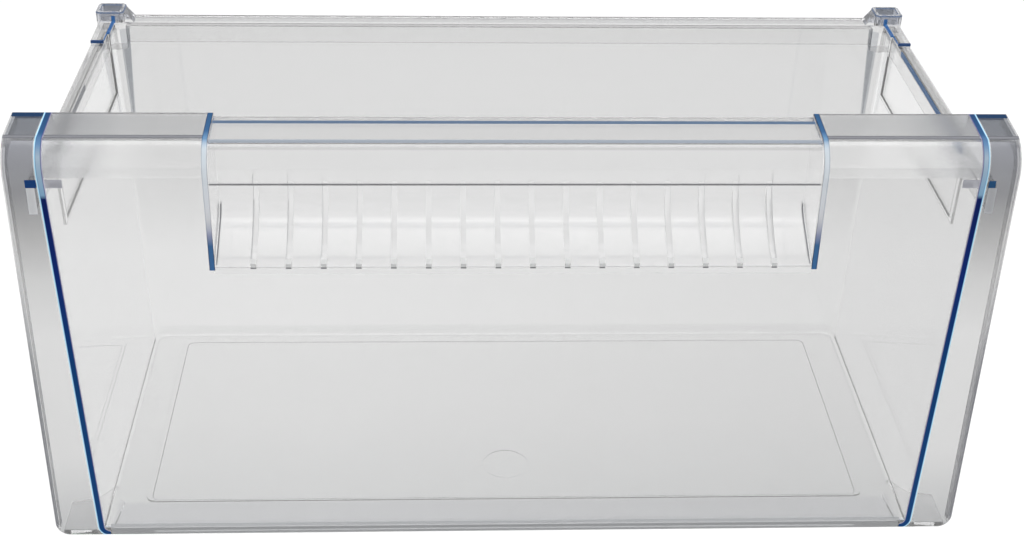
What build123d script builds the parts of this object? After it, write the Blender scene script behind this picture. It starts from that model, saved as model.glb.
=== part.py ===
"""Freezer drawer, moulded in one piece from clear polystyrene.

The front face is modelled on the plane Y = 0 with the tub behind it, and the finished drawer is moved
so that the origin lies under the middle of its outer box: +Z is up and the front looks along -Y.
"""
import os
from math import cos, radians, sin, sqrt, tan

from build123d import *

# Overall sizes and the wall that the whole moulding shares
FRONT_WIDTH = 455.0
FRONT_HEIGHT = 219.5
DRAWER_DEPTH = 199.0
WALL = 2.4

# Front panel: an upright plate that rolls back at the brow into a flange along its top edge
BROW_RADIUS = 16.5
BROW_TURN = 65.0
FLANGE_REACH = 32.5
FLANGE_SLOPE = 4.7
FRONT_CORNER_RADIUS = 7.0
EDGE_RETURN_DEPTH = 7.0
EDGE_RETURN_WALL = 1.8
FRONT_EDGE_RADIUS = 1.0
FLANGE_TIP_RADIUS = 0.8

# Finger grip: a sunk lip over a ribbed pocket, closed by a plate at each end
GRIP_LENGTH = 275.0
GRIP_RECESS = 1.8
LIP_SKIRT = 5.0
LIP_EDGE_RADIUS = 0.8
POCKET_OPENING = 41.5
POCKET_SLOPE = 27.0
POCKET_RADIUS = 12.0
RIB_PITCH = 16.0
RIB_END_GAP = 17.0
RIB_WIDTH = 2.6
RIB_TOE = 2.2
RIB_HOLLOW = 4.2
RIB_TOP_GAP = 33.0

# Tub: the drafted walls and the floor behind the front panel
WING_WIDTH = 18.0
SIDE_DRAFT = 1.75
BACK_DRAFT = 1.0
BACK_CORNER_RADIUS = 7.0
FLOOR_RADIUS = 3.0

# Raised middle of the floor, and the round mark of the injection gate in it
FLOOR_STEP = 0.8
FLOOR_STEP_RADIUS = 0.6
FLOOR_BAND_SIDE = 17.0
FLOOR_BAND_FRONT = 24.0
FLOOR_BAND_BACK = 6.0
FLOOR_PANEL_RADIUS = 4.0
GATE_DIAMETER = 24.0
GATE_DEPTH = 0.3
GATE_FROM_FRONT = 53.0

# Rim: the flange with a turned-down leg on which the drawer runs
RIM_BELOW_TOP = 20.0
RIM_REACH_SIDE = 7.9
RIM_REACH_BACK = 13.0
RIM_WALL = 2.2
RIM_DROP = 15.0
RIM_CORNER_RADIUS = 6.0
RIM_EDGE_RADIUS = 0.8
WEB_WIDTH = 8.0
WEB_LENGTH = 16.0

# Jogged panel in the upper part of each side wall
JOG = 1.2
JOG_BELOW_RIM = 33.5
JOG_FROM_FRONT = 31.0
JOG_FROM_BACK = 29.5

# Back stops: a raised pad on each rim, ending in a hollow post at the back corner
PAD_LENGTH = 41.0
PAD_RISE = 1.5
POST_RISE = 6.5
POST_WIDTH = 15.0
POST_PROUD = 2.0
POST_DEPTH = 14.0
POST_WALL = 2.0
POST_CORNER_RADIUS = 2.5
POST_EDGE_RADIUS = 0.7
POST_RAMP = 5.0

# Front feet: plates under the bottom corners of the front, and the pads they make inside the tub
FOOT_EDGE_MARGIN = 3.5
FOOT_LENGTH = 25.0
FOOT_NOSE_LENGTH = 38.0
FOOT_PAD_WIDTH = 6.5
FOOT_PAD_RISE = 1.4

# Depth by which neighbouring forms run into each other
BITE = 0.3

RIM_HEIGHT = FRONT_HEIGHT - RIM_BELOW_TOP
TUB_WIDTH_AT_RIM = FRONT_WIDTH - 2 * WING_WIDTH
RIM_WIDTH = TUB_WIDTH_AT_RIM + 2 * RIM_REACH_SIDE


def flange_height(y, inset=0.0):
    """Height of the top flange at depth y, on the surface that lies inset below its top."""
    slope = radians(FLANGE_SLOPE)
    return FRONT_HEIGHT - (FLANGE_REACH - y) * tan(slope) - inset / cos(slope)


def crease_height():
    """Height where the upright face starts to roll back."""
    turn = radians(BROW_TURN)
    edge_depth = BROW_RADIUS * (1 - cos(turn))
    return flange_height(edge_depth) - BROW_RADIUS * sin(turn)


def lip_height():
    """Height of the grip lip's lower edge."""
    return crease_height() - LIP_SKIRT


def pocket_height():
    """Height of the pocket's front edge, on the front face."""
    return lip_height() - POCKET_OPENING


def brow_edge(inset):
    """Point where the brow's arc meets the flange, on the surface that lies inset behind the outside."""
    m = tan(radians(FLANGE_SLOPE))
    c = flange_height(BROW_RADIUS, inset) - crease_height()
    radius = BROW_RADIUS - inset
    u = (-m * c - sqrt((m * c) ** 2 - (1 + m * m) * (c * c - radius * radius))) / (1 + m * m)
    return BROW_RADIUS + u, crease_height() + m * u + c


def skin_curves(inset, bottom):
    """Side view of the front's surface, from a bottom height over the brow to the flange's end."""
    crease = crease_height()
    edge = brow_edge(inset)
    mid_y = (inset + edge[0]) / 2
    mid_z = crease + sqrt((BROW_RADIUS - inset) ** 2 - (BROW_RADIUS - mid_y) ** 2)
    upright = Line((inset, bottom), (inset, crease))
    brow = ThreePointArc((inset, crease), (mid_y, mid_z), edge)
    flange = Line(edge, (FLANGE_REACH, flange_height(FLANGE_REACH, inset)))
    return [upright, brow, flange]


def face_from(*curves):
    """Face bounded by the given curves."""
    return make_face([edge for curve in curves for edge in curve.edges()])


def along_x(face, low, high):
    """Solid of a side view (Y across, Z up) carried along X from low to high."""
    return extrude(Plane.YZ.offset(low) * face, high - low)


def skin_face(outside, inside, bottom):
    """Side view of a skin between two insets, cut off level at the bottom."""
    end_outside = (FLANGE_REACH, flange_height(FLANGE_REACH, outside))
    end_inside = (FLANGE_REACH, flange_height(FLANGE_REACH, inside))
    return face_from(*skin_curves(outside, bottom), Line(end_outside, end_inside),
                     *skin_curves(inside, bottom), Line((inside, bottom), (outside, bottom)))


def front_panel():
    """Plate, brow and flange, with the shallow return along its free side edges."""
    half = FRONT_WIDTH / 2
    panel = along_x(skin_face(0, WALL, 0), -half, half)
    edge_band = skin_face(0, EDGE_RETURN_DEPTH, 0)
    panel += along_x(edge_band, -half, -half + EDGE_RETURN_WALL)
    panel += along_x(edge_band, half - EDGE_RETURN_WALL, half)
    outline = Pos(0, FRONT_HEIGHT / 2) * Rectangle(FRONT_WIDTH, FRONT_HEIGHT)
    outline = fillet(outline.vertices().sort_by(Axis.Y)[:2], FRONT_CORNER_RADIUS)
    panel &= extrude(Plane.XZ * outline, -FLANGE_REACH)
    face_edges = panel.faces().sort_by(Axis.Y)[0].edges().sort_by(Axis.Z)[:-1]
    return fillet(face_edges, FRONT_EDGE_RADIUS)


def pocket_path(start, back, top, radius):
    """Side view of a line that rises back from the front plane and bends up to a top height."""
    corner = start + back * tan(radians(POCKET_SLOPE))
    return FilletPolyline((0, start), (back, corner), (back, top), radius=radius)


def pocket_outside_start():
    """Height at which the pocket's outer surface reaches the front plane."""
    return pocket_height() - WALL / cos(radians(POCKET_SLOPE))


def pocket_outside(top):
    """Side view of the pocket's outer surface, inside the drawer, up to a top height."""
    return pocket_path(pocket_outside_start(), FLANGE_REACH, top, POCKET_RADIUS + WALL)


def pocket_wall_face():
    """Side view of the wall that forms the pocket's floor and back, level with the lip at its top."""
    back = FLANGE_REACH - WALL
    top = flange_height(back, GRIP_RECESS)
    outside_top = flange_height(FLANGE_REACH, GRIP_RECESS)
    inside = pocket_path(pocket_height(), back, top, POCKET_RADIUS)
    return face_from(inside, Line((back, top), (FLANGE_REACH, outside_top)), pocket_outside(outside_top),
                     Line((0, pocket_height()), (0, pocket_outside_start())))


def rib_face():
    """Side view of one grip rib: a web in the pocket's bend, with a hollow edge that runs out up the back."""
    top = FRONT_HEIGHT - RIB_TOP_GAP
    root_back = FLANGE_REACH - WALL + BITE
    start = pocket_height() + RIB_TOE
    root_start = pocket_height() - BITE
    edge = SagittaArc((0, start), (root_back, top), -RIB_HOLLOW)
    root = pocket_path(root_start, root_back, top, POCKET_RADIUS + BITE)
    return face_from(edge, root, Line((0, root_start), (0, start)))


def grip():
    """Lip, pocket, end plates and ribs of the finger grip."""
    half = GRIP_LENGTH / 2
    lip = skin_face(GRIP_RECESS, GRIP_RECESS + WALL, lip_height())
    lip = fillet(lip.vertices().sort_by(Axis.Y)[:2], LIP_EDGE_RADIUS)
    form = along_x(lip, -half - BITE, half + BITE)
    form += along_x(pocket_wall_face(), -half - BITE, half + BITE)
    plate = face_from(*skin_curves(0, pocket_outside_start()), pocket_outside(FRONT_HEIGHT))
    form += along_x(plate, -half - WALL, -half) + along_x(plate, half, half + WALL)
    rib = rib_face()
    steps = int((GRIP_LENGTH - 2 * RIB_END_GAP) // RIB_PITCH)
    for i in range(steps + 1):
        middle = (i - steps / 2) * RIB_PITCH
        form += along_x(rib, middle - RIB_WIDTH / 2, middle + RIB_WIDTH / 2)
    return form


def grip_opening():
    """Block that clears the plain front where the grip goes."""
    height = FRONT_HEIGHT + WALL - pocket_height()
    return Pos(0, FLANGE_REACH / 2, pocket_height() + height / 2) * Box(
        GRIP_LENGTH, FLANGE_REACH + 2 * WALL, height)


def inside_half_width(z):
    """Half of the tub's clear width at height z."""
    return TUB_WIDTH_AT_RIM / 2 - (RIM_HEIGHT - z) * tan(radians(SIDE_DRAFT))


def inside_back(z):
    """Depth of the back wall's inner face at height z."""
    return DRAWER_DEPTH - RIM_REACH_BACK - (RIM_HEIGHT - z) * tan(radians(BACK_DRAFT))


def tub_block(outset, front, bottom):
    """Drafted block of the tub, the given distance outside its inner faces.

    Its back corners and bottom edges are rounded, apart from an edge inside the front panel.
    """
    top = FRONT_HEIGHT + WALL
    low = inside_half_width(bottom) + outset
    high = inside_half_width(top) + outset
    end_view = Polyline((-low, bottom), (low, bottom), (high, top), (-high, top), close=True)
    side_view = Polyline((front, bottom), (inside_back(bottom) + outset, bottom),
                         (inside_back(top) + outset, top), (front, top), close=True)
    block = extrude(Plane.XZ * face_from(end_view), -DRAWER_DEPTH - WALL)
    block &= along_x(face_from(side_view), -FRONT_WIDTH / 2, FRONT_WIDTH / 2)
    back_edges = block.faces().sort_by(Axis.Y)[-1].edges().sort_by(Axis.X)
    block = fillet([back_edges[0], back_edges[-1]], BACK_CORNER_RADIUS + outset)
    edges = block.faces().sort_by(Axis.Z)[0].edges().sort_by(Axis.Y)
    return fillet(edges if front >= WALL else edges[1:], FLOOR_RADIUS)


def tub_height_mask():
    """Block that keeps the tub below the rim, and below the flange just behind the front panel.

    Behind the flange each side wall comes down to the rim in a scoop.
    """
    end = (FLANGE_REACH, flange_height(FLANGE_REACH, WALL / 2))
    scoop_radius = flange_height(FLANGE_REACH, WALL) - RIM_HEIGHT
    scoop_top = (FLANGE_REACH, RIM_HEIGHT + scoop_radius)
    scoop_foot = (FLANGE_REACH + scoop_radius, RIM_HEIGHT)
    sag = scoop_radius * (1 - sqrt(0.5))
    scoop = ThreePointArc(scoop_top, (FLANGE_REACH + sag, RIM_HEIGHT + sag), scoop_foot)
    back_top = (DRAWER_DEPTH, RIM_HEIGHT)
    back_foot = (DRAWER_DEPTH, 0)
    face = face_from(*skin_curves(WALL / 2, 0), Line(end, scoop_top), scoop, Line(scoop_foot, back_top),
                     Line(back_top, back_foot), Line(back_foot, (WALL / 2, 0)))
    return along_x(face, -FRONT_WIDTH / 2, FRONT_WIDTH / 2)


def jog_zone(margin):
    """Block over the jogged panels of both side walls, enlarged by a margin."""
    front = JOG_FROM_FRONT - margin
    back = DRAWER_DEPTH - JOG_FROM_BACK + margin
    low = RIM_HEIGHT - JOG_BELOW_RIM - margin
    high = RIM_HEIGHT + WALL
    return Pos(0, (front + back) / 2, (low + high) / 2) * Box(FRONT_WIDTH, back - front, high - low)


def rim_outline(inset):
    """Plan of the rim's outer edge, drawn in by an inset."""
    half = RIM_WIDTH / 2 - inset
    front = WALL / 2
    back = DRAWER_DEPTH - inset
    plan = Pos(0, (front + back) / 2) * Rectangle(2 * half, back - front)
    return fillet(plan.vertices().sort_by(Axis.Y)[-2:], RIM_CORNER_RADIUS - inset)


def rim():
    """Flange with its turned-down leg and the raised back pads, still closed over the tub."""
    top = Plane.XY.offset(RIM_HEIGHT)
    form = extrude(top * rim_outline(0), -RIM_WALL)
    form += extrude(top * (rim_outline(0) - rim_outline(RIM_WALL)), -RIM_DROP)
    form = fillet(form.faces().sort_by(Axis.Z)[-1].edges().sort_by(Axis.Y)[1:], RIM_EDGE_RADIUS)
    pads = extrude(Plane.XY.offset(RIM_HEIGHT - RIM_WALL) * rim_outline(0), RIM_WALL + PAD_RISE)
    for side in (-1, 1):
        form += pads & Pos(side * RIM_WIDTH / 2, DRAWER_DEPTH - PAD_LENGTH / 2, RIM_HEIGHT) * Box(
            2 * RIM_REACH_SIDE, PAD_LENGTH, 2 * RIM_DROP)
    return form


def post(side):
    """Stop post on one back corner of the rim, with a ramp down to the back rim."""
    outer_x = RIM_WIDTH / 2 + POST_PROUD
    inner_x = outer_x - POST_WIDTH
    middle = Pos(side * (outer_x + inner_x) / 2, DRAWER_DEPTH - POST_DEPTH / 2)
    base = RIM_HEIGHT - RIM_DROP
    top = RIM_HEIGHT + POST_RISE
    plan = RectangleRounded(POST_WIDTH, POST_DEPTH, POST_CORNER_RADIUS)
    body = extrude(Plane.XY.offset(base) * middle * plan, top - base)
    body = fillet(body.faces().sort_by(Axis.Z)[-1].edges(), POST_EDGE_RADIUS)
    ramp = Polyline((side * (inner_x - POST_RAMP), RIM_HEIGHT - BITE),
                    (side * (inner_x + POST_WALL), RIM_HEIGHT - BITE),
                    (side * (inner_x + POST_WALL), top - POST_EDGE_RADIUS),
                    (side * inner_x, top - POST_EDGE_RADIUS), close=True)
    ramp_front = DRAWER_DEPTH - POST_DEPTH + POST_CORNER_RADIUS
    ramp_length = POST_DEPTH - 2 * POST_CORNER_RADIUS
    return body + extrude(Plane.XZ.offset(-ramp_front) * face_from(ramp), -ramp_length)


def post_well(side):
    """Open well in the top of one stop post."""
    middle = Pos(side * (RIM_WIDTH / 2 + POST_PROUD - POST_WIDTH / 2), DRAWER_DEPTH - POST_DEPTH / 2)
    plan = RectangleRounded(POST_WIDTH - 2 * POST_WALL, POST_DEPTH - 2 * POST_WALL, POST_CORNER_RADIUS / 2)
    return extrude(Plane.XY.offset(RIM_HEIGHT + POST_RISE) * middle * plan, -POST_RISE)


def corner_web(side):
    """Small web at rim height in the corner between a side wall and the front panel."""
    wall_x = inside_half_width(RIM_HEIGHT) + BITE
    front = WALL - BITE
    plan = Polyline((side * wall_x, front), (side * (wall_x - WEB_WIDTH), front),
                    (side * wall_x, front + WEB_LENGTH), close=True)
    return extrude(Plane.XY.offset(RIM_HEIGHT) * face_from(plan), -RIM_WALL)


def foot(side):
    """Plate under one bottom corner of the front, and the raised pad it makes inside the tub."""
    wall_x = inside_half_width(0)
    edge_x = FRONT_WIDTH / 2 - FOOT_EDGE_MARGIN
    pad_x = wall_x - FOOT_PAD_WIDTH
    front = WALL - BITE
    plate = Polyline((side * wall_x, front), (side * edge_x, front), (side * edge_x, FOOT_LENGTH),
                     (side * (edge_x + wall_x) / 2, FOOT_LENGTH + WALL),
                     (side * (wall_x + WALL), FOOT_NOSE_LENGTH), (side * wall_x, FOOT_NOSE_LENGTH),
                     close=True)
    pad = Polyline((side * (wall_x + BITE), front), (side * (pad_x + WALL), front),
                   (side * pad_x, FOOT_LENGTH - WALL), (side * (pad_x + WALL), FOOT_LENGTH),
                   (side * (wall_x + BITE), FOOT_NOSE_LENGTH), close=True)
    low = Plane.XY.offset(WALL - BITE)
    return extrude(face_from(plate), WALL) + extrude(low * face_from(pad), FOOT_PAD_RISE + BITE)


def floor_panel(margin, low, high):
    """Block over the raised middle of the floor, drawn in by a margin."""
    half = inside_half_width(0) - FLOOR_BAND_SIDE - margin
    front = FLOOR_BAND_FRONT + margin
    back = inside_back(0) - FLOOR_BAND_BACK - margin
    plan = Pos(0, (front + back) / 2) * RectangleRounded(2 * half, back - front, FLOOR_PANEL_RADIUS)
    block = extrude(Plane.XY.offset(low) * plan, high - low)
    return fillet(block.faces().sort_by(Axis.Z)[-1].edges(), FLOOR_STEP_RADIUS)


def drawer():
    """The whole moulding, with its front face on Y = 0."""
    buried = WALL / 2
    tub = tub_block(WALL, buried, 0) + (tub_block(WALL + JOG, buried, 0) & jog_zone(WALL))
    tub &= tub_height_mask()
    tub += rim() + post(-1) + post(1)
    tub -= tub_block(0, WALL, WALL)
    tub -= tub_block(JOG, WALL, WALL) & jog_zone(0)
    tub -= post_well(-1) + post_well(1)
    tub += corner_web(-1) + corner_web(1) + foot(-1) + foot(1)
    tub += floor_panel(0, WALL - BITE, WALL + FLOOR_STEP)
    tub -= floor_panel(WALL, 0, FLOOR_STEP)
    gate_z = WALL + FLOOR_STEP - GATE_DEPTH / 2
    tub -= Pos(0, GATE_FROM_FRONT, gate_z) * Cylinder(GATE_DIAMETER / 2, GATE_DEPTH)
    form = front_panel() + tub - grip_opening() + grip()
    tip = form.edges().filter_by(Axis.X).filter_by_position(Axis.Y, FLANGE_REACH - BITE, FLANGE_REACH + BITE)
    tip = tip.filter_by_position(Axis.Z, FRONT_HEIGHT - GRIP_RECESS - BITE, FRONT_HEIGHT + BITE)
    return fillet(tip, FLANGE_TIP_RADIUS)


os.makedirs("parts", exist_ok=True)
export_step(Pos(0, -DRAWER_DEPTH / 2, 0) * drawer(), "parts/drawer.step")
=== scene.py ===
from math import radians, tan

import bpy
from mathutils import Matrix, Vector

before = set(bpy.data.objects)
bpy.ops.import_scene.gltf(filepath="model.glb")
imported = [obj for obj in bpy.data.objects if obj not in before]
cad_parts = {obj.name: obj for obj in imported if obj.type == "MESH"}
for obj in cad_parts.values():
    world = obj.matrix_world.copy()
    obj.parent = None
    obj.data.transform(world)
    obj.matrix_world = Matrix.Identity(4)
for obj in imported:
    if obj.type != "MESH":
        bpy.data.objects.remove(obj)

scene = bpy.context.scene
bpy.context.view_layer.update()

# The drawer: one injection moulding in clear polystyrene, faintly tinted blue so that it doesn't look yellow.
# A wall looked at squarely is almost colourless. Each edge of a wall that stands behind the front shows as a
# blue line in the front:
# painted glow for the light that the wall carries over its whole length and tints blue, with a painted pale
# and lilac fringe.


def linear(hex_colour, alpha=1.0):
    """Linear RGBA of an sRGB hex colour: each channel is undone from its sRGB curve."""
    channels = [int(hex_colour[i:i + 2], 16) / 255 for i in (1, 3, 5)]
    return [c / 12.92 if c <= 0.04045 else ((c + 0.055) / 1.055) ** 2.4 for c in channels] + [alpha]


def add(tree, kind, inputs={}, stops=(), **settings):
    """Adds a node: settings are its own properties and stops are a colour ramp's (place, colour) pairs.

    An input takes a value, a socket, or a node, whose first output is then linked.
    """
    node = tree.nodes.new(kind)
    for name, value in settings.items():
        setattr(node, name, value)
    for name, value in inputs.items():
        if isinstance(value, bpy.types.Node):
            value = value.outputs[0]
        if isinstance(value, bpy.types.NodeSocket):
            tree.links.new(value, node.inputs[name])
        else:
            node.inputs[name].default_value = value
    for i, (place, colour) in enumerate(stops):
        if i < len(node.color_ramp.elements):
            stop = node.color_ramp.elements[i]
            stop.position = place
        else:
            stop = node.color_ramp.elements.new(place)
        stop.color = colour
    return node


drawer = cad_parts["drawer"]
polystyrene = bpy.data.materials.new("clear_polystyrene")
polystyrene.use_nodes = True
tree = polystyrene.node_tree
tree.nodes.clear()

# Places on the moulding in millimetres: x from the middle plane, y behind the front face, z above the floor.
# under_skin is the depth below the front's outer skin: its face, the rolled brow and the top flange.
half_depth = 99.5
wall = 2.4
place = add(tree, "ShaderNodeTexCoord")
millimetres = add(tree, "ShaderNodeVectorMath", {
    0: place.outputs["Object"], 1: (1000, 1000, 1000), 2: (0, half_depth, 0)}, operation="MULTIPLY_ADD")
split = add(tree, "ShaderNodeSeparateXYZ", {0: millimetres})
across, y, z = split.outputs["X"], split.outputs["Y"], split.outputs["Z"]
x = add(tree, "ShaderNodeMath", {0: across}, operation="ABSOLUTE")
along_skin = add(tree, "ShaderNodeMath", {0: y, 1: z}, operation="ADD")
brow_radius, brow_height = 16.5, 202.66
flange_back, flange_top, flange_rise = 32.5, 219.5, tan(radians(4.7))
brow_y = add(tree, "ShaderNodeMath", {0: brow_radius, 1: y}, operation="SUBTRACT")
brow_y = add(tree, "ShaderNodeMath", {0: brow_y, 1: 0.0}, operation="MAXIMUM")
brow_z = add(tree, "ShaderNodeMath", {0: z, 1: brow_height}, operation="SUBTRACT")
brow_z = add(tree, "ShaderNodeMath", {0: brow_z, 1: 0.0}, operation="MAXIMUM")
brow_arc = add(tree, "ShaderNodeCombineXYZ", {0: brow_y, 1: brow_z})
brow_reach = add(tree, "ShaderNodeVectorMath", {0: brow_arc}, operation="LENGTH")
under_brow = add(tree, "ShaderNodeMath", {
    0: brow_radius, 1: brow_reach.outputs["Value"]}, operation="SUBTRACT")
under_flange = add(tree, "ShaderNodeMath", {
    0: y, 1: flange_rise, 2: flange_top - flange_back * flange_rise}, operation="MULTIPLY_ADD")
under_flange = add(tree, "ShaderNodeMath", {0: under_flange, 1: z}, operation="SUBTRACT")
under_skin = add(tree, "ShaderNodeMath", {0: under_brow, 1: under_flange}, operation="MINIMUM")

# How far a place lies outside the tub's inner face: 0 to 2.4 mm is within the side wall or its rounded foot
floor_radius = 3.0
rim_inside, rim_height, draft = 209.5, 199.5, tan(radians(1.75))
inner_x = add(tree, "ShaderNodeMath", {
    0: z, 1: draft, 2: rim_inside - rim_height * draft}, operation="MULTIPLY_ADD")
beside_wall = add(tree, "ShaderNodeMath", {0: x, 1: inner_x}, operation="SUBTRACT")
foot_x = add(tree, "ShaderNodeMath", {0: beside_wall, 1: floor_radius}, operation="ADD")
foot_x = add(tree, "ShaderNodeMath", {0: foot_x, 1: 0.0}, operation="MAXIMUM")
foot_z = add(tree, "ShaderNodeMath", {0: wall + floor_radius, 1: z}, operation="SUBTRACT")
foot_z = add(tree, "ShaderNodeMath", {0: foot_z, 1: 0.0}, operation="MAXIMUM")
foot_arc = add(tree, "ShaderNodeCombineXYZ", {0: foot_x, 1: foot_z})
foot_reach = add(tree, "ShaderNodeVectorMath", {0: foot_arc}, operation="LENGTH")
into_wall = add(tree, "ShaderNodeMath", {
    0: foot_reach.outputs["Value"], 1: floor_radius}, operation="SUBTRACT")

# Painted glow on the side walls' edges in the front: navy up to the rim, pale where the wall stands free
# under the brow and blue above, with painted highlight and shade fringes. skin_length is a little more than
# the whole way up the face and over the brow and flange.
skin_length = 260.0
painted_wall_glow = add(tree, "ShaderNodeMapRange", {"Value": along_skin, "From Max": skin_length})
painted_wall_glow = add(tree, "ShaderNodeValToRGB", {0: painted_wall_glow}, stops=[
    (0.0, linear("#103f74")), (100 / skin_length, linear("#073a6e")), (150 / skin_length, linear("#03246a")),
    (192 / skin_length, linear("#021856")), (194 / skin_length, linear("#7ea3c0")),
    (214 / skin_length, linear("#a5b8c8")), (223 / skin_length, linear("#6288b0")),
    (232 / skin_length, linear("#2a547f")), (251 / skin_length, linear("#1b406c"))])
wall_fringe = add(tree, "ShaderNodeMapRange", {"Value": into_wall, "From Min": -1.0, "From Max": 4.0})
painted_wall_fringe = add(tree, "ShaderNodeValToRGB", {0: wall_fringe}, stops=[
    (0.04, linear("#c4bfdc", 0.0)), (0.13, linear("#b3aed2", 0.5)), (0.20, linear("#3c3f78")),
    (0.66, linear("#1f5a94")), (0.71, linear("#a8dcf5")), (0.77, linear("#bfe6f8", 0.9)),
    (0.84, linear("#d8eef8", 0.0))])
fringe_share = add(tree, "ShaderNodeValToRGB", {0: wall_fringe}, stops=[
    (0.20, (1, 1, 1, 1)), (0.27, (0, 0, 0, 1)), (0.62, (0, 0, 0, 1)), (0.68, (1, 1, 1, 1))])
painted_wall_light = add(tree, "ShaderNodeMix", {
    "Factor": fringe_share, 6: painted_wall_glow, 7: painted_wall_fringe}, data_type="RGBA")

# Painted glow on the end plates of the finger grip: blue at the top flange and at the pocket's tip, pale
# between, edged with painted dark fringe lines
painted_plate_glow = add(tree, "ShaderNodeMapRange", {"Value": along_skin, "From Min": 150.0, "From Max": 255.0})
painted_plate_glow = add(tree, "ShaderNodeValToRGB", {0: painted_plate_glow}, stops=[
    (0.06, linear("#3c6796")), (0.17, linear("#3d6591")), (0.22, linear("#7d86a8", 0.9)),
    (0.30, linear("#b9bdc8", 0.6)), (0.66, linear("#bcd4e6", 0.6)), (0.73, linear("#6a92b8")),
    (0.80, linear("#365f8a")), (1.0, linear("#274f78"))])
painted_plate_fringe = add(tree, "ShaderNodeMapRange", {"Value": x, "From Min": 136.5, "From Max": 141.5})
painted_plate_fringe = add(tree, "ShaderNodeValToRGB", {0: painted_plate_fringe}, stops=[
    (0.16, linear("#566884", 0.0)), (0.20, linear("#566884")), (0.27, linear("#ffffff")),
    (0.58, linear("#ffffff")), (0.66, linear("#7e96ac")), (0.73, linear("#c4e4f4", 0.0))])
painted_plate_light = add(tree, "ShaderNodeMix", {
    "Factor": 1.0, 6: painted_plate_glow, 7: painted_plate_fringe}, data_type="RGBA", blend_type="MULTIPLY")
plate_share = add(tree, "ShaderNodeMath", {
    0: painted_plate_glow.outputs["Alpha"], 1: painted_plate_fringe.outputs["Alpha"]}, operation="MULTIPLY")

# Painted shade on the clear wall: deepest in the wings under the brow and at the flange's ends, palest at the
# back of the floor. The wings' painted dark outer edges are strongest low down, and the painted shade of the
# back corners widens upwards.
painted_wing_shade = add(tree, "ShaderNodeMapRange", {"Value": along_skin, "From Max": skin_length})
painted_wing_shade = add(tree, "ShaderNodeValToRGB", {0: painted_wing_shade}, stops=[
    (4 / skin_length, linear("#b6b7b8")), (50 / skin_length, linear("#d0d0d0")),
    (120 / skin_length, linear("#d4d4d4")), (150 / skin_length, linear("#c6c6c6")),
    (175 / skin_length, linear("#a6a6a6")), (196 / skin_length, linear("#838487")),
    (223 / skin_length, linear("#92949b")), (231 / skin_length, linear("#72767e"))])
painted_flange_shade = add(tree, "ShaderNodeMapRange", {"Value": x, "From Min": 137.0, "From Max": 210.0})
painted_flange_shade = add(tree, "ShaderNodeValToRGB", {0: painted_flange_shade}, stops=[
    (0.0, linear("#bcbdbe")), (0.5, linear("#b7b8b9")), (0.75, linear("#9c9ea1")), (1.0, linear("#83858a"))])
painted_brow_shade = add(tree, "ShaderNodeMapRange", {"Value": x, "From Min": 178.0, "From Max": 208.0})
painted_brow_shade = add(tree, "ShaderNodeValToRGB", {0: painted_brow_shade}, stops=[
    (0.0, linear("#f0f0f0")), (1.0, linear("#bfc1c5"))])
painted_floor_shade = add(tree, "ShaderNodeMapRange", {"Value": y, "From Min": 24.0, "From Max": 190.0})
painted_floor_shade = add(tree, "ShaderNodeValToRGB", {0: painted_floor_shade}, stops=[
    (0.0, linear("#dcdddd")), (0.4, linear("#e6e6e6")), (1.0, linear("#ededed"))])
painted_back_shade = add(tree, "ShaderNodeMapRange", {"Value": z, "From Min": 60.0, "From Max": 135.0})
painted_back_shade = add(tree, "ShaderNodeValToRGB", {0: painted_back_shade}, stops=[
    (0.0, linear("#f3f3f3")), (1.0, linear("#d7d7d7"))])
painted_panel_shade = add(tree, "ShaderNodeMapRange", {"Value": across, "From Min": -100.0, "From Max": 200.0})
painted_panel_shade = add(tree, "ShaderNodeValToRGB", {0: painted_panel_shade}, stops=[
    (0.0, linear("#e8e8e8")), (1.0, linear("#dedede"))])
painted_pocket_shade = add(tree, "ShaderNodeMapRange", {"Value": z, "From Min": 156.0, "From Max": 176.0})
painted_pocket_shade = add(tree, "ShaderNodeValToRGB", {0: painted_pocket_shade}, stops=[
    (0.0, linear("#d6d6d6")), (0.45, linear("#e2e2e2")), (0.9, linear("#efefef"))])
edge_strength = add(tree, "ShaderNodeMapRange", {
    "Value": z, "From Min": 90.0, "From Max": 170.0, "To Min": 0.8, "To Max": 0.2})
corner_half = add(tree, "ShaderNodeMapRange", {
    "Value": z, "From Min": 140.0, "From Max": 199.0, "To Min": 0.5, "To Max": 2.6})

# Grip ribs at every 16 mm: rib_side is the distance from a rib's outer face and rib_middle from its middle
rib_pitch, rib_half = 16.0, 1.3
rib_side = add(tree, "ShaderNodeMath", {0: x, 1: rib_pitch / 2 + rib_half}, operation="SUBTRACT")
rib_side = add(tree, "ShaderNodeMath", {0: rib_side, 1: rib_pitch / 2, 2: -rib_pitch / 2}, operation="WRAP")
rib_middle = add(tree, "ShaderNodeMath", {0: x, 1: rib_pitch / 2}, operation="SUBTRACT")
rib_middle = add(tree, "ShaderNodeMath", {
    0: rib_middle, 1: rib_pitch / 2, 2: -rib_pitch / 2}, operation="WRAP")
# rib_strength: how strong the ribs' painted dark lines are, stronger towards the grip's ends
rib_strength = add(tree, "ShaderNodeMapRange", {
    "Value": x, "From Min": 40.0, "From Max": 125.0, "To Min": 0.1, "To Max": 0.9})
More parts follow.
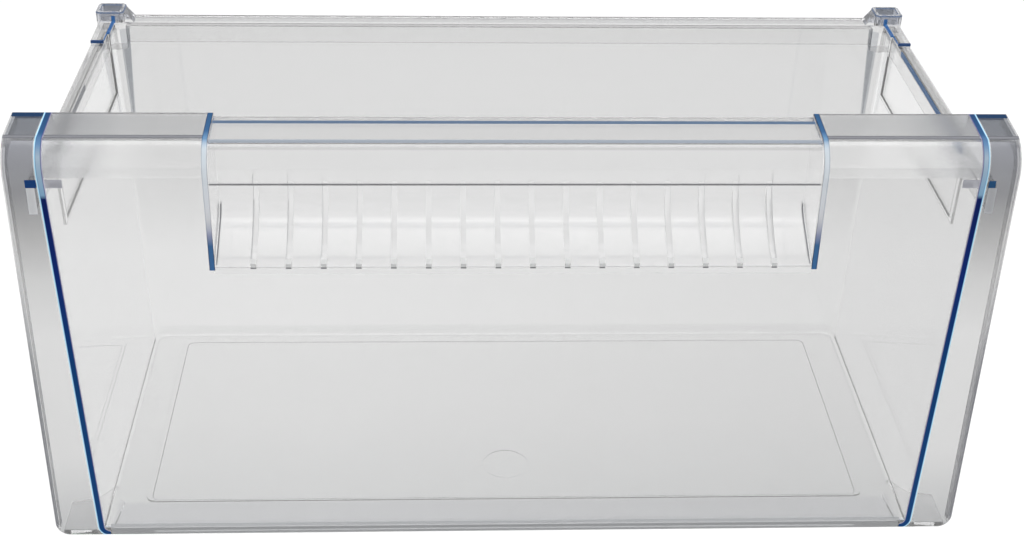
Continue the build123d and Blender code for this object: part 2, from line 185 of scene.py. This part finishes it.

# The layers of painted shade, highlights and edge glow, each over the ones before it: its colour, how much of
# the light it stops, and the bands that it lies in, each a place, its middle and its half-width in
# millimetres, or one of the bands made first.
# Nothing stops less than the haze, the little light that the moulded surface scatters everywhere.
haze = 0.05
on_face = add(tree, "ShaderNodeMath", {0: y, 1: 0.0, 2: 0.4}, operation="COMPARE")
on_skin = add(tree, "ShaderNodeMath", {0: under_skin, 1: 0.0, 2: 0.45}, operation="COMPARE")
in_grip = add(tree, "ShaderNodeMath", {0: x, 1: 68.0, 2: 69.4}, operation="COMPARE")
in_ribs = add(tree, "ShaderNodeMath", {0: x, 1: 64.0, 2: 64.0}, operation="COMPARE")
beside_grip = add(tree, "ShaderNodeMath", {0: x, 1: 183.8, 2: 44.0}, operation="COMPARE")
layers = [
    (painted_panel_shade, haze, [(y, 1.2, 1.7)]),                                         # painted shade across the front panel
    (painted_back_shade, haze, [(y, 186.0, 5.6), (z, 100.0, 99.0)]),                      # painted shade on the back wall, darker upwards
    ("#979a9e", haze, [(x, 204.6, corner_half), (y, 184.0, 5.6), (z, 170.0, 29.0)]),  # painted shade in the tub's back corners
    ("#ffffff", haze, [(y, 197.0, 3.4), (z, 190.0, 8.6)]),                       # painted light on the back rim's leg
    (painted_floor_shade, haze, [(z, 2.0, 6.0), (y, 100.0, 96.0), (x, 100.0, 103.0)]),    # painted shade on the floor, lighter towards the back
    ("#cfd0d2", haze, [(z, 1.0, 3.0), (y, 14.0, 10.0), (x, 100.0, 100.0)]),      # painted shade on the floor in front of its panel
    ("#c1c1c1", haze, [(z, 200.0, 3.5), (x, 210.0, 9.0), (y, 110.0, 77.0)]),     # painted shade on the side rims
    ("#cfcfd0", haze, [(z, 200.0, 3.5), (y, 195.0, 6.0)]),                       # painted shade on the back rim
    ("#8d8e93", 0.6, [(z, 201.0, 1.4), (y, 184.4, 1.3), (x, 100.0, 97.0)]),      # painted dark line along the back rim's inner edge
    ("#b4b7bf", 0.12, [(z, 206.0, 5.0), (y, 192.0, 8.0), (x, 210.0, 12.0)]),     # painted shade on the stop posts
    ("#777b83", 0.6, [(x, 211.9, 5.2), (y, 197.0, 0.4), (z, 203.4, 2.6)]),       # painted shade in the posts' hollows
    ("#5f6f8c", 0.7, [(x, 212.0, 8.0), (y, 192.0, 8.0), (z, 205.6, 0.35)]),      # painted dark lines on the posts' top edges
    ("#24406e", 0.9, [(y, 158.3, 0.9), (x, 214.0, 5.0), (z, 202.0, 2.4)]),       # painted blue edge glow on the pads' front steps
    ("#2f5f9a", 0.85, [(x, 210.0, 1.0), (y, 173.0, 13.5), (z, 202.0, 2.0)]),     # painted blue edge glow on the pads' inner edges
    ("#34567f", 0.85, [(across, 209.9, 1.4), (y, 92.0, 59.0), (z, 199.8, 2.6)]),  # painted dark blue line on the right rim's inner edge
    ("#5b5f66", 0.6, [(across, -209.9, 1.2), (y, 70.0, 36.0), (z, 199.8, 2.6)]),  # painted dark line on the left rim's inner edge
    (painted_pocket_shade, 0.35, [in_grip, (y, 16.0, 17.0), (z, 186.0, 31.0)]),           # painted shade in the finger pocket
    ("#fafafa", haze, [in_grip, (under_skin, 2.4, 2.0), (z, 210.0, 12.6)]),      # painted light on the grip lip
    ("#e1e1e1", haze, [in_grip, (under_flange, 1.8, 2.2)]),                      # painted shade on the flange over the grip
    (painted_brow_shade, haze, [on_skin, (z, 210.0, 7.5), (x, 174.0, 36.0)]),             # painted shade on the brow, darker near the side walls
    (painted_flange_shade, haze, [(under_flange, 0.0, 0.4), (x, 175.0, 36.0)]),           # painted shade on the flange, darker towards its ends
    (painted_wing_shade, haze, [(beside_wall, 14.0, 10.6), (under_skin, 1.2, 1.9), (x, 200.0, 26.6)]),  # painted shade in the wings
    ("#4d515c", edge_strength, [(x, 227.7, 1.1)]),                               # painted dark lines on the wings' outer edges
    ("#b4b6b8", 0.5, [on_face, (z, 3.6, 3.6), (x, 100.0, 100.0)]),               # painted shade at the floor's edge in the front
    ("#707276", 0.8, [(y, 0.0, 0.8), (z, 0.0, 0.5)]),                            # painted dark line on the front's bottom edge
    ("#ececec", 0.85, [on_face, (z, 154.8, 1.5), in_grip]),                      # painted highlight on the pocket's front edge
    ("#77787b", 0.75, [(x, 136.9, 0.3), (z, 165.5, 8.5), (y, 16.0, 15.8)]),      # painted dark lines at the pocket's ends
    ("#77787b", rib_strength, [in_ribs, (rib_side, 0.0, 0.15), (z, 172.0, 17.0), (y, 16.0, 15.8)]),  # painted dark lines on the ribs
    ("#cbcccc", 0.8, [in_ribs, (rib_middle, 0.0, rib_half), (z, 157.8, 2.0), (y, 1.2, 1.6)]),  # painted grey shade on the ribs' toes
    ("#77787b", 1.0, [in_ribs, (rib_middle, 0.0, rib_half), (z, 156.2, 0.35), on_face]),  # painted dark lines on the toes' lower edges
    ("#66676a", 0.9, [in_grip, (z, 197.8, 0.4), (y, 2.4, 1.8)]),                 # painted dark line on the lip's lower edge
    ("#969ea9", 0.9, [in_grip, (y, 10.4, 1.1), (under_skin, 1.8, 0.6)]),         # painted shade in the lip's crease
    ("#566a84", 0.95, [in_grip, (y, 26.8, 1.3), (under_flange, 1.8, 0.6)]),      # painted dark line on the back wall under the lip
    ("#828389", 0.9, [on_skin, beside_grip, (along_skin, 228.4, 1.5)]),          # painted shade in the brow's crease
    ("#5f6067", 0.9, [on_skin, beside_grip, (along_skin, 229.6, 0.3)]),          # painted dark line on the crease's upper edge
    ("#5f6067", 0.9, [on_skin, beside_grip, (along_skin, 227.2, 0.3)]),          # painted dark line on the crease's lower edge
    ("#cfd1d4", 0.8, [on_face, (across, -215.6, 1.9), (z, 191.0, 6.6)]),         # painted light on the left rim leg's front end
    ("#b0b2b6", 0.7, [on_face, (across, 215.6, 1.9), (z, 191.0, 6.6)]),          # painted light on the right rim leg's front end
    ("#a7a8b0", 0.75, [on_face, (x, 205.2, 3.8), (z, 199.7, 2.1)]),              # painted shade on the web's front end
    ("#123a70", 1.0, [on_face, (across, -215.2, 2.5), (z, 199.6, 2.0)]),         # painted blue glow on the left rim plate's front end
    ("#234b72", 1.0, [on_face, (across, 215.0, 1.6), (z, 199.4, 1.8)]),          # painted blue glow on the right rim plate's front end
    ("#123357", 1.0, [(x, 219.0, 8.2), (y, 31.0, 2.9), (under_flange, 1.0, 1.5)]),  # painted blue glow on the flange's ends
    (painted_plate_light.outputs[2], plate_share, [on_skin, (x, 139.0, 2.5), (along_skin, 205.0, 50.0)]),  # painted glow and dark fringes on the end plates
    (painted_wall_light.outputs[2], painted_wall_fringe.outputs["Alpha"], [on_skin, (beside_wall, 1.5, 4.4)]),  # painted glow and fringes on the side walls' edges
]
colour, cover = linear("#f3f3f3"), haze
for paint, stops_light, bands in layers:
    share = None
    for band in bands:
        if isinstance(band, tuple):
            band = add(tree, "ShaderNodeMath", dict(enumerate(band)), operation="COMPARE")
        share = add(tree, "ShaderNodeMath", {0: share, 1: band}, operation="MULTIPLY") if share else band
    if isinstance(stops_light, (bpy.types.Node, bpy.types.NodeSocket)):
        share = add(tree, "ShaderNodeMath", {0: share, 1: stops_light}, operation="MULTIPLY")
        stops_light = 1.0
    paint = linear(paint) if isinstance(paint, str) else paint
    colour = add(tree, "ShaderNodeMix", {"Factor": share, 6: colour, 7: paint}, data_type="RGBA").outputs[2]
    cover = add(tree, "ShaderNodeMix", {"Factor": share, 2: cover, 3: stops_light}).outputs[0]

# Moulded surface: slow flow waves about 25 mm long, and polish that varies over some 60 mm
wave_length, polish_length = 0.025, 0.06
waves = add(tree, "ShaderNodeTexNoise", {
    "Vector": place.outputs["Object"], "Scale": 1 / wave_length, "Detail": 0.0})
ripple = add(tree, "ShaderNodeBump", {"Strength": 0.5, "Distance": 0.00004, "Height": waves})
polish = add(tree, "ShaderNodeTexNoise", {
    "Vector": place.outputs["Object"], "Scale": 1 / polish_length, "Detail": 1.0})
polish = add(tree, "ShaderNodeMapRange", {
    "Value": polish, "From Min": 0.3, "From Max": 0.7, "To Min": 0.008, "To Max": 0.03})
over_face = add(tree, "ShaderNodeMath", {0: z, 1: brow_height}, operation="GREATER_THAN")
brow_blur = add(tree, "ShaderNodeMath", {0: on_skin, 1: over_face}, operation="MULTIPLY")
roughness = add(tree, "ShaderNodeMath", {0: brow_blur, 1: 0.22, 2: polish}, operation="MULTIPLY_ADD")

# Clear plastic, and an opaque shader that carries the haze and the layers of painted shade, highlights and
# glow, both with polystyrene's refractive index. Light from the lamp and light scattered by the floor pass
# straight through, so the drawer throws no dark shadow on the paper.
polystyrene_ior = 1.59
clear = add(tree, "ShaderNodeBsdfPrincipled", {
    "Base Color": colour, "Roughness": roughness, "IOR": polystyrene_ior, "Transmission Weight": 1.0,
    "Normal": ripple}, distribution="GGX")
edges = add(tree, "ShaderNodeBsdfPrincipled", {
    "Base Color": colour, "Roughness": 0.1, "IOR": polystyrene_ior, "Specular IOR Level": 0.05},
    distribution="GGX")
body = add(tree, "ShaderNodeMixShader", {0: cover, 1: clear, 2: edges})
path = add(tree, "ShaderNodeLightPath")
lamp_or_bounce = add(tree, "ShaderNodeMath", {
    0: path.outputs["Is Shadow Ray"], 1: path.outputs["Is Diffuse Ray"]}, operation="MAXIMUM")
lets_through = add(tree, "ShaderNodeBsdfTransparent")
surface = add(tree, "ShaderNodeMixShader", {0: lamp_or_bounce, 1: body, 2: lets_through})
add(tree, "ShaderNodeOutputMaterial", {"Surface": surface})
drawer.data.materials.clear()
drawer.data.materials.append(polystyrene)

# The floor: a wide sweep of matt white paper, which is also the background.
floor_half = 6.0
floor_mesh = bpy.data.meshes.new("floor")
floor_mesh.from_pydata([(-floor_half, -floor_half, 0), (floor_half, -floor_half, 0),
                        (floor_half, floor_half, 0), (-floor_half, floor_half, 0)], [], [(0, 1, 2, 3)])
floor = bpy.data.objects.new("floor", floor_mesh)
scene.collection.objects.link(floor)
paper = bpy.data.materials.new("white_paper")
paper.use_nodes = True
paper.node_tree.nodes["Principled BSDF"].inputs["Base Color"].default_value = linear("#f2f2f2")
paper.node_tree.nodes["Principled BSDF"].inputs["Roughness"].default_value = 0.9
floor_mesh.materials.append(paper)
floor.location.z = -0.0002

# The light: a pale room and a large softbox overhead.
world = bpy.data.worlds.new("pale_room")
world.use_nodes = True
world.node_tree.nodes["Background"].inputs["Color"].default_value = linear("#e6e6e6")
world.node_tree.nodes["Background"].inputs["Strength"].default_value = 1.0
scene.world = world
lamp = bpy.data.lights.new("overhead_softbox", "AREA")
lamp.shape = "RECTANGLE"
lamp.size, lamp.size_y, lamp.energy = 1.6, 1.2, 14.0
softbox = bpy.data.objects.new("overhead_softbox", lamp)
softbox.location = (0.0, 0.3, 1.6)
lamp_aim = Vector((0.0, 0.0, 0.1))
softbox.rotation_euler = (lamp_aim - softbox.location).to_track_quat("-Z", "Y").to_euler()
scene.collection.objects.link(softbox)

# The camera: at the photograph's viewing angle, with the place and lens found from the drawer's edges.
camera_data = bpy.data.cameras.new("camera")
camera_data.sensor_width = 36.0
camera_data.lens = 57.245
camera = bpy.data.objects.new("camera", camera_data)
pitch, yaw, roll = radians(30.709), radians(2.985), radians(-1.395)
turn = (Matrix.Rotation(-yaw, 4, "Z") @ Matrix.Rotation(radians(90) - pitch, 4, "X")
        @ Matrix.Rotation(-roll, 4, "Z"))
camera.matrix_world = Matrix.Translation((-0.03528, -0.74291, 0.53899)) @ turn
scene.collection.objects.link(camera)
scene.camera = camera

scene.view_settings.view_transform = "Standard"
scene.cycles.max_bounces = 10
scene.cycles.transmission_bounces = 10
scene.cycles.glossy_bounces = 4
scene.cycles.transparent_max_bounces = 16
scene.cycles.use_light_tree = False
